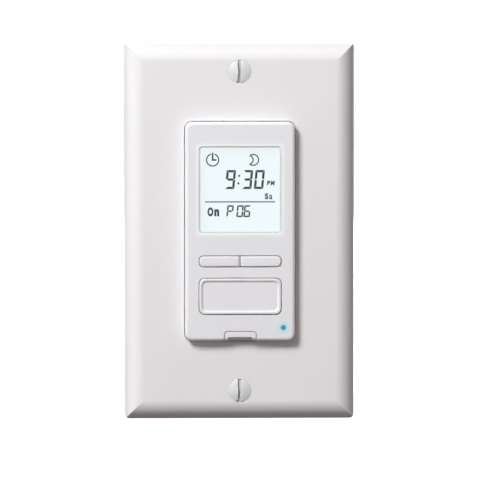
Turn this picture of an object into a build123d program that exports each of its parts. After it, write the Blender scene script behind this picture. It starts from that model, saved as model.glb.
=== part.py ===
# A single-gang timer light switch: a wall plate, a proud front with a display and
# push buttons, and the works behind them. Each piece is written as a node of its own.
from build123d import *
from math import radians, tan
import os

# Lengths are in millimetres. The wall is the XZ plane, +Z is up, and the room is towards -Y.
# A height is a distance out from the wall towards the room, and a depth goes back into the wall box.

# Screw threads, number 6-32, and how far each row of screws stands outside what it goes past.
# The rows come out at the single-gang spacings of 83.34 and 96.84, and the plate at 114.3 high.
thread_r = 1.75
thread_fit = 0.05
box_screw_margin = 7.92
plate_screw_margin = 6.75

# Wall plate
plate_width = 69.85
plate_end_margin = 8.73
plate_depth = 5.6
plate_wall = 1.9
plate_edge = 1.2
border_width = 5.5
plate_corner_r = 1.8
corner_run_out = 0.08
rim_width = 2.0
pocket_bevel = 1.2
collar_wall = 1.3
collar_depth = 1.1
screw_pad_r = 2.95
plate_rib_width = 1.0
plate_rib_depth = 1.0
plate_rib_place = 12.0
countersink_angle = 82.0

# Plate screws, number 6 with an oval slotted head
oval_head_r = 3.55
oval_dome = 0.95
driver_slot_width = 1.0
driver_slot_depth = 1.1
plate_screw_length = 12.7

# Mounting strap
strap_thickness = 1.3
strap_side_inset = 0.5
strap_shoulder_margin = 2.25
strap_end_width = 34.0
strap_end_margin = 3.98
strap_corner_r = 3.0
strap_window_width = 24.0
strap_window_margin = 9.5
strap_window_r = 1.5
mounting_slot_length = 7.6
mounting_slot_width = 4.1
ear_slit_width = 1.2
ear_slit_length = 9.5
ear_slit_place = 9.6
ground_tab_width = 9.0
ground_tab_depth = 11.5
ground_tab_inset = 1.5
ground_tab_root = 2.5
ground_tab_bend_r = 1.2

# Mounting screws, with a thin neck that the fibre washers hold in the strap
mounting_head_r = 3.3
mounting_head_height = 1.5
mounting_neck_r = 1.45
mounting_screw_length = 19.0
washer_thickness = 0.5
washer_width = 9.5
washer_height = 7.0
washer_corner_r = 0.5

# Strap screws, into the corners of the rear housing
strap_screw_side_gap = 0.3
strap_screw_end_inset = 6.75
strap_screw_r = 1.15
strap_screw_head_r = 1.9
strap_screw_head_height = 1.1
strap_screw_length = 11.0
strap_hole_gap = 0.25

# Front bezel, as large as the window and the buttons with the margins round them
insert_gap = 0.2
insert_proud = 3.2
insert_corner_r = 2.3
insert_edge_r = 1.1
skin = 1.6
bezel_wall = 1.6
cavity_corner_r = 0.8
leg_width = 4.0
leg_thickness = 1.2
leg_place = 9.0
leg_wall_gap = 0.75
leg_hook = 0.6
leg_hook_height = 1.0
leg_fit = 0.15

# Display window, liquid-crystal panel and what holds them
window_width = 24.9
window_height = 26.2
window_corner_r = 1.1
window_side_margin = 4.25
window_top_margin = 7.55
window_above_pair = 6.8
window_bevel = 0.15
lens_recess = 0.3
lens_fit = 0.05
lens_flange = 1.2
lens_flange_thickness = 0.7
panel_side_overlap = 1.15
panel_end_overlap = 1.9
panel_thickness = 1.6
stack_gap = 0.05
holder_wall = 1.0
holder_fit = 0.1
holder_end_wall = 1.9
backlight_side_inset = 0.8
backlight_end_inset = 3.0
backlight_thickness = 1.4
strip_side_inset = 0.9
strip_height = 1.6
strip_end_gap = 0.5

# Push buttons
button_gap = 0.2
button_opening_bevel = 0.12
button_proud = 0.35
button_flange = 0.6
button_flange_thickness = 0.7
button_side_margin = 4.1
pair_height = 3.6
pair_corner_r = 1.5
pair_above_main = 3.15
pair_split = 0.1
pair_split_r = 0.9
pair_edge_r = 0.45
pair_travel = 0.5
main_height = 11.25
main_corner_r = 1.9
main_bottom_margin = 7.95
main_edge_r = 0.3
main_rim = 0.62
dish_depth = 0.4
dish_slope_angle = 55.0
main_travel = 0.7

# Tactile switches under the buttons
switch_size = 4.5
switch_height = 1.6
switch_corner_r = 0.4
plunger_r = 1.2
plunger_fit = 0.1
plunger_reserve = 0.25
switch_floor = 0.15
stem_r = 1.4

# Service tab that opens the air gap
tab_width = 9.7
tab_height = 3.0
tab_gap = 0.1
tab_corner_r = 1.1
tab_travel = 3.0
tab_stop_gap = 0.1
tab_hook_reach = 1.7
tab_hook_thickness = 1.2
tab_sill = 1.2
scoop_width = 7.6
scoop_height = 1.15
scoop_depth = 1.7
scoop_corner_r = 0.5
scoop_draft = 8.0
tab_stem_width = 5.0
tab_stem_thickness = 1.3
tab_slot_gap = 0.25
bridge_width = 8.4
bridge_thickness = 0.5
bridge_gap = 0.05
contact_size = 1.6
contact_spacing = 6.0
contact_height = 1.4

# Status light
light_from_side = 3.6
light_from_bottom = 4.1
light_r = 0.8
light_fit = 0.05
light_collar_r = 1.6
light_collar_thickness = 0.7
light_body_r = 1.1
lamp_length = 2.0
lamp_width = 1.25
lamp_height = 0.9
lamp_gap = 0.2

# Control board and what is on it
sheet_thickness = 0.3
board_thickness = 1.6
board_gap = 0.2
notch_gap = 0.3
chip_size = 10.0
chip_thickness = 1.4
chip_end_gap = 4.5
cell_r = 10.0
cell_thickness = 3.2
cell_edge_r = 0.4
cell_end_gap = 2.5
cell_gap = 0.2
clip_thickness = 0.3
clip_width = 6.0
clip_gap = 0.2
header_length = 15.6
header_width = 2.5
header_pitch = 2.54
header_pin_r = 0.32
header_pin_fit = 0.1
header_pin_tail = 0.7
header_pin_count = 6
header_below_holder = 1.4

# Rear housing
housing_side_margin = 5.05
housing_end_margin = 0.5
housing_depth = 30.0
housing_corner_r = 2.5
housing_back_r = 1.5
housing_floor = 1.8
housing_side = 7.0
housing_end = 1.75
board_ledge = 1.0
power_board_depth = 5.6

# Wire terminals in bays along both sides of the housing
bay_depth = 5.0
bay_height = 10.0
bay_top = 2.9
bay_place = 12.0
bay_corner_r = 0.8
terminal_thickness = 1.0
terminal_height = 8.0
terminal_length = 12.5
terminal_leg_width = 4.0
terminal_leg_reach = 2.5
terminal_fit = 0.05
terminal_screw_depth = 10.0
terminal_screw_r = 2.05
terminal_screw_tail = 1.4
terminal_tip_gap = 0.35
terminal_head_r = 3.6
terminal_head_height = 2.2
terminal_head_edge_r = 0.5
clamp_thickness = 1.0
clamp_size = 7.4
clamp_corner_r = 0.8
ground_washer_r = 4.1
ground_washer_thickness = 0.7

# Parts on the power board
relay_width = 19.2
relay_height = 15.4
relay_depth = 15.3
relay_side_gap = 2.65
relay_end_gap = 5.3
relay_edge_r = 0.8
film_width = 18.0
film_height = 7.0
film_depth = 13.0
film_below_relay = 2.3
film_edge_r = 0.6
coil_size = 14.0
coil_flange = 1.4
coil_core_r = 3.2
coil_winding_r = 6.2
coil_depth = 12.5
coil_side_gap = 3.25
coil_above_filter = 0.5
filter_r = 4.0
filter_length = 14.0
filter_side_gap = 2.75
filter_end_gap = 2.0
filter_pitch = 9.5
filter_edge_r = 0.7
disc_r = 5.0
disc_thickness = 4.0
disc_edge_r = 1.2
disc_side_gap = 3.25
disc_lead_r = 0.4
disc_lead_length = 1.6
disc_lead_pitch = 5.0

# Widths, from the front's contents out to the housing and the strap
insert_width = window_width + 2 * window_side_margin
pair_width = insert_width - 2 * button_side_margin
panel_width = window_width + 2 * panel_side_overlap
backlight_width = panel_width - 2 * backlight_side_inset
strip_width = panel_width - 2 * strip_side_inset
housing_width = insert_width + 2 * housing_side_margin
inner_width = housing_width - 2 * housing_side
strap_width = housing_width - 2 * strap_side_inset
strap_screw_x = insert_width / 2 + strap_screw_side_gap + strap_screw_head_r

# Heights up the wall, from the front's contents out to the plate
window_span = window_top_margin + window_height + window_above_pair
button_span = pair_height + pair_above_main + main_height + main_bottom_margin
insert_height = window_span + button_span
panel_height = window_height + 2 * panel_end_overlap
backlight_height = panel_height - 2 * backlight_end_inset
housing_height = insert_height + 2 * housing_end_margin
inner_height = housing_height - 2 * housing_end
strap_screw_z = housing_height / 2 - strap_screw_end_inset
strap_shoulder_height = housing_height + 2 * strap_shoulder_margin
strap_window_height = strap_shoulder_height - 2 * strap_window_margin
box_screw_spacing = housing_height + 2 * box_screw_margin
plate_screw_spacing = box_screw_spacing + 2 * plate_screw_margin
strap_height = plate_screw_spacing + 2 * strap_end_margin
plate_height = plate_screw_spacing + 2 * plate_end_margin

# Heights out from the wall
strap_front = strap_thickness
plate_inside = plate_depth - plate_wall
bezel_front = plate_depth + insert_proud
skin_back = bezel_front - skin
board_back = strap_front + sheet_thickness
board_front = board_back + board_thickness
switch_top = board_front + switch_height
plunger_top = switch_top + main_travel + plunger_reserve
power_front = -power_board_depth
power_back = power_front - board_thickness

# Places on the front and behind it
insert_bottom = -insert_height / 2
opening_width = insert_width + 2 * insert_gap
opening_height = insert_height + 2 * insert_gap
cavity_width = insert_width - 2 * bezel_wall
cavity_height = insert_height - 2 * bezel_wall
window_z = insert_height / 2 - window_top_margin - window_height / 2
main_z = insert_bottom + main_bottom_margin + main_height / 2
pair_z = main_z + main_height / 2 + pair_above_main + pair_height / 2
key_x = pair_width / 4
leg_outer = cavity_height / 2 - leg_wall_gap
leg_middle = leg_outer - leg_thickness / 2
tab_top = insert_bottom + tab_height
hook_top = tab_top + tab_hook_reach
hook_front = skin_back - tab_travel - tab_stop_gap
hook_back = hook_front - tab_hook_thickness
stem_z = hook_top - tab_stem_thickness / 2
bridge_back = power_front + contact_height + bridge_gap
bridge_front = bridge_back + bridge_thickness
light_x = insert_width / 2 - light_from_side
light_z = insert_bottom + light_from_bottom
holder_height = panel_height + 2 * holder_end_wall
header_z = window_z - holder_height / 2 - header_below_holder
chip_z = chip_end_gap + chip_size / 2 - strap_window_height / 2
cell_z = strap_window_height / 2 - cell_end_gap - cell_r
bay_floor = housing_width / 2 - bay_depth
ground_tab_x = ground_tab_inset + ground_tab_width / 2 - strap_width / 2
ground_tab_z = -strap_shoulder_height / 2 - ground_tab_root

# Places on the power board, from the walls of the housing round it
relay_x = inner_width / 2 - relay_side_gap - relay_width / 2
relay_z = inner_height / 2 - relay_end_gap - relay_height / 2
film_z = relay_z - relay_height / 2 - film_below_relay - film_height / 2
filter_x = filter_side_gap + filter_r + filter_pitch / 2 - inner_width / 2
filter_z = filter_end_gap + filter_r - inner_height / 2
coil_x = coil_side_gap + coil_size / 2 - inner_width / 2
coil_z = filter_z + filter_r + coil_above_filter + coil_size / 2
disc_x = inner_width / 2 - disc_side_gap - disc_thickness / 2


def facing(height):
    """The plane parallel to the wall at a height above it, seen from the room."""
    return Plane.XZ.offset(height)


def level_section(z):
    """A section across the object, whose own Y points out into the room."""
    return Plane(origin=(0, 0, z), x_dir=(1, 0, 0), z_dir=(0, 0, -1))


def upright_section(x):
    """A section down the object, whose own X points up and own Y out into the room."""
    return Plane(origin=(x, 0, 0), x_dir=(0, 0, 1), z_dir=(1, 0, 0))


def from_side(side, x, depth, z):
    """A plane that looks out of the left or right side, at a distance x from the middle."""
    return Plane(origin=(side * x, depth, z), x_dir=(0, 1, 0), z_dir=(side, 0, 0))


def from_below(x, depth, z):
    """A plane that looks down."""
    return Plane(origin=(x, depth, z), x_dir=(1, 0, 0), z_dir=(0, 0, -1))


os.makedirs("parts", exist_ok=True)


def write(piece, name):
    """Labels a finished piece and writes it as a node."""
    piece.label = name
    export_step(piece, f"parts/{name}.step")


# Wall plate: two shouldered sections cross, so that the rounded border meets in mitres
with BuildPart() as wall_plate:
    for section, span, length, mode in (
        (level_section(0), plate_width, plate_height, Mode.ADD),
        (upright_section(0), plate_height, plate_width, Mode.INTERSECT),
    ):
        with BuildSketch(section):
            with BuildLine():
                edge = span / 2
                flat = edge - border_width
                Line((-flat, plate_depth), (flat, plate_depth))
                TangentArc((flat, plate_depth), (edge, plate_edge), tangent=(1, 0))
                Polyline((edge, plate_edge), (edge, 0), (-edge, 0), (-edge, plate_edge))
                TangentArc((-flat, plate_depth), (-edge, plate_edge), tangent=(-1, 0))
            make_face()
        extrude(amount=length / 2, both=True, mode=mode)
    with BuildSketch(facing(0)):
        RectangleRounded(
            plate_width + 2 * corner_run_out, plate_height + 2 * corner_run_out, plate_corner_r
        )
    extrude(amount=plate_depth, mode=Mode.INTERSECT)
    pocket_step = plate_inside - pocket_bevel
    for height, amount, taper in ((0, pocket_step, 0), (pocket_step, pocket_bevel, 45)):
        with BuildSketch(facing(height)):
            Rectangle(plate_width - 2 * rim_width, plate_height - 2 * rim_width)
        extrude(amount=amount, taper=taper, mode=Mode.SUBTRACT)
    with BuildSketch(facing(plate_inside - collar_depth)):
        RectangleRounded(
            opening_width + 2 * collar_wall,
            opening_height + 2 * collar_wall,
            insert_corner_r + collar_wall,
        )
    extrude(amount=collar_depth)
    rib_length = (plate_height - opening_height) / 2 - rim_width
    with BuildSketch(facing(plate_inside - plate_rib_depth)):
        with GridLocations(2 * plate_rib_place, opening_height + rib_length, 2, 2):
            Rectangle(plate_rib_width, rib_length)
    extrude(amount=plate_rib_depth)
    with BuildSketch(facing(strap_front)):
        with GridLocations(0, plate_screw_spacing, 1, 2):
            Circle(screw_pad_r)
    extrude(amount=plate_inside - strap_front)
    with BuildSketch(facing(0)):
        RectangleRounded(opening_width, opening_height, insert_corner_r + insert_gap)
    extrude(amount=plate_depth, mode=Mode.SUBTRACT)
    with Locations(facing(plate_depth)):
        with GridLocations(0, plate_screw_spacing, 1, 2):
            CounterSinkHole(
                radius=thread_r + thread_fit,
                counter_sink_radius=oval_head_r + thread_fit,
                counter_sink_angle=countersink_angle,
            )
write(wall_plate.part, "wall_plate")


# Plate screws: an oval head and shank turned from one profile, with a straight driver slot
cone_depth = (oval_head_r - thread_r) / tan(radians(countersink_angle / 2))
with BuildPart() as plate_screws:
    for place in (-plate_screw_spacing / 2, plate_screw_spacing / 2):
        with BuildSketch(level_section(place)):
            with BuildLine():
                Polyline(
                    (0, plate_depth + oval_dome),
                    (0, plate_depth - plate_screw_length),
                    (thread_r, plate_depth - plate_screw_length),
                    (thread_r, plate_depth - cone_depth),
                    (oval_head_r, plate_depth),
                )
                TangentArc((0, plate_depth + oval_dome), (oval_head_r, plate_depth), tangent=(1, 0))
            make_face()
        revolve(axis=Axis((0, 0, place), (0, 1, 0)))
        with BuildSketch(facing(plate_depth + oval_dome)):
            with Locations((0, place)):
                Rectangle(driver_slot_width, 2 * (oval_head_r + thread_fit))
        extrude(amount=-driver_slot_depth, mode=Mode.SUBTRACT)
write(plate_screws.part, "plate_screws")


# Mounting strap: a stamped steel yoke with break-off ears and a bent tab for the ground wire
with BuildPart() as mounting_strap:
    with BuildSketch(facing(0)):
        RectangleRounded(strap_width, strap_shoulder_height, strap_corner_r)
        RectangleRounded(strap_end_width, strap_height, strap_corner_r)
        with Locations((ground_tab_x, ground_tab_z + ground_tab_root / 2)):
            Rectangle(ground_tab_width, ground_tab_root)
        RectangleRounded(
            strap_window_width, strap_window_height, strap_window_r, mode=Mode.SUBTRACT
        )
        with GridLocations(0, box_screw_spacing, 1, 2):
            SlotOverall(mounting_slot_length, mounting_slot_width, mode=Mode.SUBTRACT)
        with GridLocations(0, plate_screw_spacing, 1, 2):
            Circle(thread_r + thread_fit, mode=Mode.SUBTRACT)
        with GridLocations(2 * ear_slit_place, strap_height - ear_slit_length, 2, 2):
            Rectangle(ear_slit_width, ear_slit_length, mode=Mode.SUBTRACT)
        with GridLocations(2 * strap_screw_x, 2 * strap_screw_z, 2, 2):
            Circle(strap_screw_r + strap_hole_gap, mode=Mode.SUBTRACT)
        leg_slot = leg_thickness + leg_hook + 2 * leg_fit
        with GridLocations(2 * leg_place, 2 * (leg_outer + leg_fit) - leg_slot, 2, 2):
            Rectangle(leg_width + 2 * leg_fit, leg_slot, mode=Mode.SUBTRACT)
        with Locations((0, stem_z)):
            Rectangle(
                tab_stem_width + 2 * tab_slot_gap,
                tab_stem_thickness + 2 * tab_slot_gap,
                mode=Mode.SUBTRACT,
            )
    extrude(amount=strap_thickness)
    with BuildSketch(facing(0)):
        with Locations((ground_tab_x, ground_tab_z + strap_thickness / 2)):
            Rectangle(ground_tab_width, strap_thickness)
    extrude(amount=-ground_tab_depth)
    bend = mounting_strap.edges().filter_by(Axis.X).group_by(Axis.Z)[0].sort_by(Axis.Y)[0]
    fillet(bend, radius=ground_tab_bend_r)
    with Locations(from_below(ground_tab_x, ground_tab_depth / 2, ground_tab_z)):
        Hole(terminal_screw_r + thread_fit, depth=strap_thickness)
write(mounting_strap.part, "mounting_strap")


# Mounting screws, held in the strap's slots until they are driven into the wall box
washer_front = strap_front + washer_thickness
with BuildPart() as mounting_screws:
    with BuildSketch(facing(washer_front)):
        with GridLocations(0, box_screw_spacing, 1, 2):
            Circle(mounting_head_r)
    extrude(amount=mounting_head_height)
    heads = mounting_screws.faces().filter_by(Axis.Y).group_by(Axis.Y)[0]
    fillet(heads.edges(), radius=mounting_head_height / 2)
    for start, radius, length in (
        (washer_front, mounting_neck_r, washer_front),
        (0, thread_r, mounting_screw_length - washer_front),
    ):
        with BuildSketch(facing(start)):
            with GridLocations(0, box_screw_spacing, 1, 2):
                Circle(radius)
        extrude(amount=-length)
    with BuildSketch(facing(washer_front + mounting_head_height)):
        with GridLocations(0, box_screw_spacing, 1, 2):
            Rectangle(2 * mounting_head_r, driver_slot_width)
            Rectangle(driver_slot_width, mounting_head_r)
    extrude(amount=-mounting_head_height / 2, mode=Mode.SUBTRACT)
write(mounting_screws.part, "mounting_screws")

with BuildPart() as retaining_washers:
    with BuildSketch(facing(strap_front)):
        with GridLocations(0, box_screw_spacing, 1, 2):
            RectangleRounded(washer_width, washer_height, washer_corner_r)
            Circle(mounting_neck_r + thread_fit, mode=Mode.SUBTRACT)
    extrude(amount=washer_thickness)
write(retaining_washers.part, "retaining_washers")


# Strap screws
with BuildPart() as strap_screws:
    with BuildSketch(facing(strap_front)):
        with GridLocations(2 * strap_screw_x, 2 * strap_screw_z, 2, 2):
            Circle(strap_screw_head_r)
    extrude(amount=strap_screw_head_height)
    heads = strap_screws.faces().filter_by(Axis.Y).group_by(Axis.Y)[0]
    fillet(heads.edges(), radius=strap_screw_head_height / 2)
    with BuildSketch(facing(strap_front)):
        with GridLocations(2 * strap_screw_x, 2 * strap_screw_z, 2, 2):
            Circle(strap_screw_r)
    extrude(amount=-strap_screw_length)
write(strap_screws.part, "strap_screws")


# Front bezel: a hollow moulding with four snap legs through the strap
def tab_opening(gap):
    """The service tab's outline from the front, with rounded top corners, grown by a gap."""
    with BuildSketch(mode=Mode.PRIVATE) as outline:
        with Locations((0, tab_top - tab_height / 2)):
            Rectangle(tab_width + 2 * gap, tab_height + 2 * gap)
        fillet(outline.vertices().group_by(Axis.Y)[-1], radius=tab_corner_r + gap)
    return outline.sketch


with BuildPart() as front_bezel:
    with BuildSketch(facing(strap_front)):
        RectangleRounded(insert_width, insert_height, insert_corner_r)
    extrude(amount=bezel_front - strap_front)
    fillet(front_bezel.faces().sort_by(Axis.Y)[0].edges(), radius=insert_edge_r)
    with BuildSketch(facing(strap_front)):
        RectangleRounded(cavity_width, cavity_height, cavity_corner_r)
    extrude(amount=skin_back - strap_front, mode=Mode.SUBTRACT)
    for height, amount, taper in (
        (skin_back, skin, 0),
        (bezel_front - window_bevel, window_bevel, -45),
    ):
        with BuildSketch(facing(height)):
            with Locations((0, window_z)):
                RectangleRounded(window_width, window_height, window_corner_r)
        extrude(amount=amount, taper=taper, mode=Mode.SUBTRACT)
    with BuildSketch(facing(skin_back)):
        with Locations((0, pair_z)):
            RectangleRounded(pair_width, pair_height, pair_corner_r)
        with Locations((0, main_z)):
            RectangleRounded(pair_width, main_height, main_corner_r)
        with Locations((light_x, light_z)):
            Circle(light_r + light_fit)
    extrude(amount=skin, mode=Mode.SUBTRACT)
    with BuildSketch(facing(bezel_front - button_opening_bevel)):
        with Locations((0, pair_z)):
            RectangleRounded(pair_width, pair_height, pair_corner_r)
        with Locations((0, main_z)):
            RectangleRounded(pair_width, main_height, main_corner_r)
    extrude(amount=button_opening_bevel, taper=-45, mode=Mode.SUBTRACT)
    with BuildSketch(facing(strap_front + tab_sill)):
        add(tab_opening(tab_gap))
    extrude(amount=bezel_front - strap_front - tab_sill, mode=Mode.SUBTRACT)
    leg_top = (strap_front + skin_back) / 2
    for foot, top, place, thickness in (
        (-leg_hook_height, leg_top, leg_middle, leg_thickness),
        (strap_front, leg_top, leg_outer + leg_wall_gap / 2, leg_wall_gap),
        (-leg_hook_height, -leg_fit, leg_outer + leg_hook / 2, leg_hook),
    ):
        with BuildSketch(facing(foot)):
            with GridLocations(2 * leg_place, 2 * place, 2, 2):
                Rectangle(leg_width, thickness)
        extrude(amount=top - foot)
write(front_bezel.part, "front_bezel")


# Display window: a clear plug in the bezel with a flange behind its skin
with BuildPart() as display_window:
    for grow, amount in ((-lens_fit, skin - lens_recess), (lens_flange, -lens_flange_thickness)):
        with BuildSketch(facing(skin_back)):
            with Locations((0, window_z)):
                RectangleRounded(
                    window_width + 2 * grow, window_height + 2 * grow, window_corner_r + grow
                )
        extrude(amount=amount)
write(display_window.part, "display_window")


# Display panel, the frame that holds it, its backlight and its two rubber connectors
panel_front = skin_back - lens_flange_thickness - stack_gap
panel_back = panel_front - panel_thickness
with BuildPart() as display_panel:
    with BuildSketch(facing(panel_back)):
        with Locations((0, window_z)):
            Rectangle(panel_width, panel_height)
    extrude(amount=panel_thickness)
write(display_panel.part, "display_panel")

with BuildPart() as display_backlight:
    with BuildSketch(facing(panel_back - stack_gap)):
        with Locations((0, window_z)):
            Rectangle(backlight_width, backlight_height)
    extrude(amount=-backlight_thickness)
write(display_backlight.part, "display_backlight")

strip_spacing = panel_height - 2 * strip_end_gap - strip_height
with BuildPart() as contact_strips:
    with BuildSketch(facing(board_front)):
        with Locations((0, window_z)):
            with GridLocations(0, strip_spacing, 1, 2):
                Rectangle(strip_width, strip_height)
    extrude(amount=panel_back - board_front)
write(contact_strips.part, "contact_strips")

with BuildPart() as display_holder:
    with BuildSketch(facing(board_front)):
        with Locations((0, window_z)):
            Rectangle(panel_width + 2 * holder_wall, holder_height)
    extrude(amount=panel_front - board_front)
    with BuildSketch(facing(panel_back)):
        with Locations((0, window_z)):
            Rectangle(panel_width + 2 * holder_fit, panel_height + 2 * holder_fit)
    extrude(amount=panel_thickness + stack_gap, mode=Mode.SUBTRACT)
    with BuildSketch(facing(board_front)):
        with Locations((0, window_z)):
            Rectangle(backlight_width + 2 * holder_fit, backlight_height + 2 * holder_fit)
            with GridLocations(0, strip_spacing, 1, 2):
                Rectangle(strip_width + 2 * holder_fit, strip_height + 2 * holder_fit)
    extrude(amount=panel_back - board_front, mode=Mode.SUBTRACT)
write(display_holder.part, "display_holder")


# Two small push buttons side by side in one opening, each half an outline with its own rounded end
flange_front = skin_back - lens_fit
flange_back = flange_front - button_flange_thickness
inner_edge = pair_split / 2
outer_edge = pair_width / 2 + button_flange
for side, name in ((-1, "left_button"), (1, "right_button")):
    with BuildPart() as key:
        with BuildSketch(facing(flange_front)):
            with Locations((0, pair_z)):
                RectangleRounded(
                    pair_width - 2 * button_gap,
                    pair_height - 2 * button_gap,
                    pair_corner_r - button_gap,
                )
            with Locations((side * (inner_edge + outer_edge) / 2, pair_z)):
                Rectangle(outer_edge - inner_edge, pair_height, mode=Mode.INTERSECT)
        extrude(amount=bezel_front + button_proud - flange_front)
        inner_first = Axis.X if side > 0 else Axis.X.reverse()
        fillet(key.faces().sort_by(Axis.Y)[0].edges().sort_by(inner_first)[0], radius=pair_split_r)
        fillet(key.faces().sort_by(Axis.Y)[0].edges().sort_by(inner_first)[1:], radius=pair_edge_r)
        with BuildSketch(facing(flange_front)):
            with Locations((side * (inner_edge + outer_edge) / 2, pair_z)):
                Rectangle(outer_edge - inner_edge, pair_height + 2 * button_flange)
        extrude(amount=-button_flange_thickness)
        with BuildSketch(facing(flange_back)):
            with Locations((side * key_x, pair_z)):
                Circle(stem_r)
        extrude(amount=plunger_top - flange_back)
    write(key.part, name)


# On and off button: a wide cap with a rounded rim round a shallow dish
with BuildPart() as on_off_button:
    with BuildSketch(facing(flange_front)):
        with Locations((0, main_z)):
            RectangleRounded(
                pair_width - 2 * button_gap,
                main_height - 2 * button_gap,
                main_corner_r - button_gap,
            )
    extrude(amount=bezel_front + button_proud - flange_front)
    fillet(on_off_button.faces().sort_by(Axis.Y)[0].edges(), radius=main_edge_r)
    with BuildSketch(facing(bezel_front + button_proud)):
        with Locations((0, main_z)):
            RectangleRounded(
                pair_width - 2 * (button_gap + main_rim),
                main_height - 2 * (button_gap + main_rim),
                main_corner_r - button_gap,
            )
    extrude(amount=-dish_depth, taper=dish_slope_angle, mode=Mode.SUBTRACT)
    with BuildSketch(facing(flange_front)):
        with Locations((0, main_z)):
            Rectangle(pair_width + 2 * button_flange, main_height + 2 * button_flange)
    extrude(amount=-button_flange_thickness)
    with BuildSketch(facing(flange_back)):
        with Locations((0, main_z)):
            Circle(stem_r)
    extrude(amount=plunger_top - flange_back)
write(on_off_button.part, "on_off_button")


# Tactile switches: three cases on the board, each with the plunger that its button drives
switch_places = {
    "left": (-key_x, pair_z, pair_travel),
    "right": (key_x, pair_z, pair_travel),
    "on_off": (0, main_z, main_travel),
}
with BuildPart() as switch_cases:
    for x, z, _ in switch_places.values():
        with BuildSketch(facing(board_front)):
            with Locations((x, z)):
                RectangleRounded(switch_size, switch_size, switch_corner_r)
        extrude(amount=switch_height)
        with BuildSketch(facing(board_front + switch_floor)):
            with Locations((x, z)):
                Circle(plunger_r + plunger_fit)
        extrude(amount=switch_height - switch_floor, mode=Mode.SUBTRACT)
write(switch_cases.part, "switch_cases")

for name, (x, z, travel) in switch_places.items():
    plunger_foot = board_front + switch_floor + travel + plunger_fit
    with BuildPart() as plunger:
        with BuildSketch(facing(plunger_foot)):
            with Locations((x, z)):
                Circle(plunger_r)
        extrude(amount=plunger_top - plunger_foot)
    write(plunger.part, f"{name}_plunger")


# Service tab: a scooped pull at the bottom edge that slides out and parts the air-gap contacts
with BuildPart() as service_tab:
    with BuildSketch(facing(hook_back)):
        add(tab_opening(-tab_gap))
    extrude(amount=bezel_front - hook_back)
    tab_foot = insert_bottom + tab_gap
    fillet(service_tab.faces().sort_by(Axis.Y)[0].edges().sort_by(Axis.Z)[0], radius=insert_edge_r)
    with BuildSketch(facing(bezel_front)):
        with Locations((0, tab_foot)):
            RectangleRounded(scoop_width, 2 * scoop_height, scoop_corner_r)
    extrude(amount=-scoop_depth, taper=scoop_draft, mode=Mode.SUBTRACT)
    with BuildSketch(facing(hook_back)):
        with Locations((0, (tab_foot + hook_top) / 2)):
            Rectangle(tab_width - 2 * tab_gap, hook_top - tab_foot)
    extrude(amount=tab_hook_thickness)
    with BuildSketch(facing(hook_back)):
        with Locations((0, stem_z)):
            Rectangle(tab_stem_width, tab_stem_thickness)
    extrude(amount=bridge_front - hook_back)
write(service_tab.part, "service_tab")

with BuildPart() as bridge_contact:
    with BuildSketch(facing(bridge_back)):
        with Locations((0, stem_z)):
            Rectangle(bridge_width, tab_stem_thickness)
    extrude(amount=bridge_thickness)
write(bridge_contact.part, "bridge_contact")

with BuildPart() as air_gap_contacts:
    with BuildSketch(facing(power_front)):
        with Locations((0, stem_z)):
            with GridLocations(contact_spacing, 0, 2, 1):
                Rectangle(contact_size, contact_size)
    extrude(amount=contact_height)
write(air_gap_contacts.part, "air_gap_contacts")


# Status light: a clear pipe from the bezel to the lamp on the board
lamp_front = board_front + lamp_height
with BuildPart() as status_light_pipe:
    for height, radius, amount in (
        (skin_back, light_r, skin),
        (skin_back, light_collar_r, -light_collar_thickness),
        (skin_back, light_body_r, lamp_front + lamp_gap - skin_back),
    ):
        with BuildSketch(facing(height)):
            with Locations((light_x, light_z)):
                Circle(radius)
        extrude(amount=amount)
write(status_light_pipe.part, "status_light_pipe")

with BuildPart() as status_lamp:
    with BuildSketch(facing(board_front)):
        with Locations((light_x, light_z)):
            Rectangle(lamp_length, lamp_width)
    extrude(amount=lamp_height)
write(status_lamp.part, "status_lamp")


# Control board, and the insulating sheet between it and the strap
def board_outline():
    """The board's outline inside the bezel, notched for the snap legs and the service tab."""
    height = cavity_height - 2 * board_gap
    leg_notch = height / 2 - leg_outer + leg_thickness + notch_gap
    tab_notch = height / 2 + hook_top + notch_gap
    with BuildSketch(mode=Mode.PRIVATE) as outline:
        RectangleRounded(cavity_width - 2 * board_gap, height, cavity_corner_r - board_gap)
        with GridLocations(2 * leg_place, height - leg_notch, 2, 2):
            Rectangle(leg_width + 2 * notch_gap, leg_notch, mode=Mode.SUBTRACT)
        with Locations((0, (tab_notch - height) / 2)):
            Rectangle(tab_width + 2 * notch_gap, tab_notch, mode=Mode.SUBTRACT)
    return outline.sketch


def header_pins(radius):
    """The header's pins in a row, as circles of a given radius."""
    with BuildSketch(mode=Mode.PRIVATE) as pins:
        with Locations((0, header_z)):
            with GridLocations(header_pitch, 0, header_pin_count, 1):
                Circle(radius)
    return pins.sketch


with BuildPart() as insulating_sheet:
    with BuildSketch(facing(strap_front)):
        add(board_outline())
        Rectangle(strap_window_width, strap_window_height, mode=Mode.SUBTRACT)
    extrude(amount=sheet_thickness)
write(insulating_sheet.part, "insulating_sheet")

with BuildPart() as control_board:
    with BuildSketch(facing(board_back)):
        add(board_outline())
        add(header_pins(header_pin_r + header_pin_fit), mode=Mode.SUBTRACT)
    extrude(amount=board_thickness)
write(control_board.part, "control_board")

with BuildPart() as controller_chip:
    with BuildSketch(facing(board_back)):
        with Locations((0, chip_z)):
            Rectangle(chip_size, chip_size)
    extrude(amount=-chip_thickness)
write(controller_chip.part, "controller_chip")

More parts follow.
